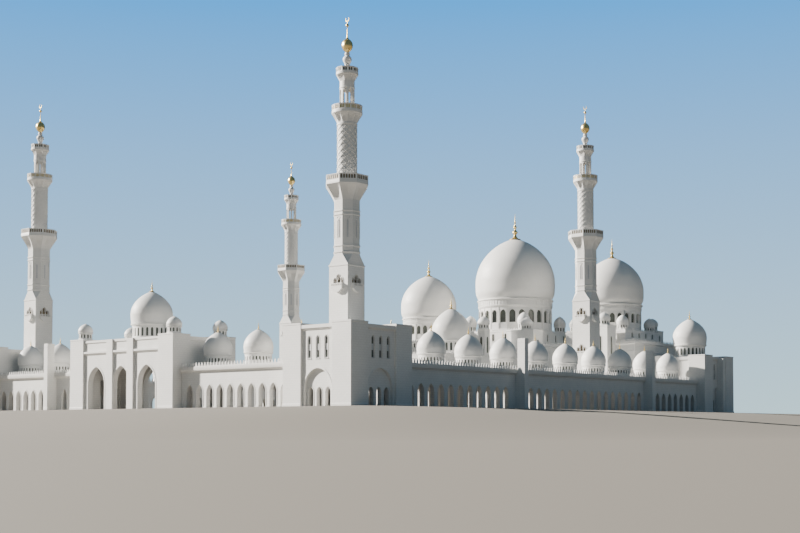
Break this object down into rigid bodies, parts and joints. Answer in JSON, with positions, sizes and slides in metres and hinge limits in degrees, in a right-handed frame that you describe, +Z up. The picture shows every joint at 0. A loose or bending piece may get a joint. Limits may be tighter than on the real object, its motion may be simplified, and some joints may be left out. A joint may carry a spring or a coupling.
{
  "type": "mosque building, 1:10 scale model",
  "caption": "White marble mosque with a walled court, arcades with small domes, corner blocks, tall stepped minarets and a hall under large domes. 1:10 scale model.",
  "frame": {"origin": "centre of the plan, at ground level", "axes": "+X to the right seen from the entrance front, +Y from the entrance to the prayer hall, +Z up"},
  "size_m": [18.66, 22.67, 10.6],
  "materials": {
    "marble": "honed white marble cladding",
    "gilding": "gilded mosaic"
  },
  "bodies": {
    "root": {"entrance_block": "marble", "entrance_dome": "marble", "entrance_finial": "gilding", "front_arcade_inner_wall_left": "marble", "front_arcade_inner_wall_right": "marble", "front_arcade_outer_wall_left": "marble", "front_arcade_outer_wall_right": "marble", "front_arcade_roof_left": "marble", "front_arcade_roof_right": "marble", "front_block_left": "marble", "front_block_right": "marble", "front_minaret_finial_left": "gilding", "front_minaret_finial_right": "gilding", "front_minaret_shaft_left": "marble", "front_minaret_shaft_right": "marble", "front_minaret_tower_left": "marble", "front_minaret_tower_right": "marble", "hall_link_left": "marble", "hall_link_right": "marble", "main_dome": "marble", "main_drum": "marble", "main_finial": "gilding", "portal_block": "marble", "portal_dome": "marble", "portal_finial": "gilding", "portico_roof_left": "marble", "portico_roof_right": "marble", "portico_wall_left": "marble", "portico_wall_right": "marble", "prayer_hall_roof": "marble", "prayer_hall_walls": "marble", "rear_block_dome_left": "marble", "rear_block_dome_right": "marble", "rear_block_finial_left": "gilding", "rear_block_finial_right": "gilding", "rear_block_left": "marble", "rear_block_right": "marble", "rear_minaret_finial_left": "gilding", "rear_minaret_finial_right": "gilding", "rear_minaret_shaft_left": "marble", "rear_minaret_shaft_right": "marble", "rear_minaret_tower_left": "marble", "rear_minaret_tower_right": "marble", "side_arcade_inner_wall_left": "marble", "side_arcade_inner_wall_right": "marble", "side_arcade_outer_wall_left": "marble", "side_arcade_outer_wall_right": "marble", "side_arcade_roof_left": "marble", "side_arcade_roof_right": "marble", "side_dome_left": "marble", "side_dome_right": "marble", "side_drum_left": "marble", "side_drum_right": "marble", "side_finial_left": "gilding", "side_finial_right": "gilding"}
  },
  "joints": []
}
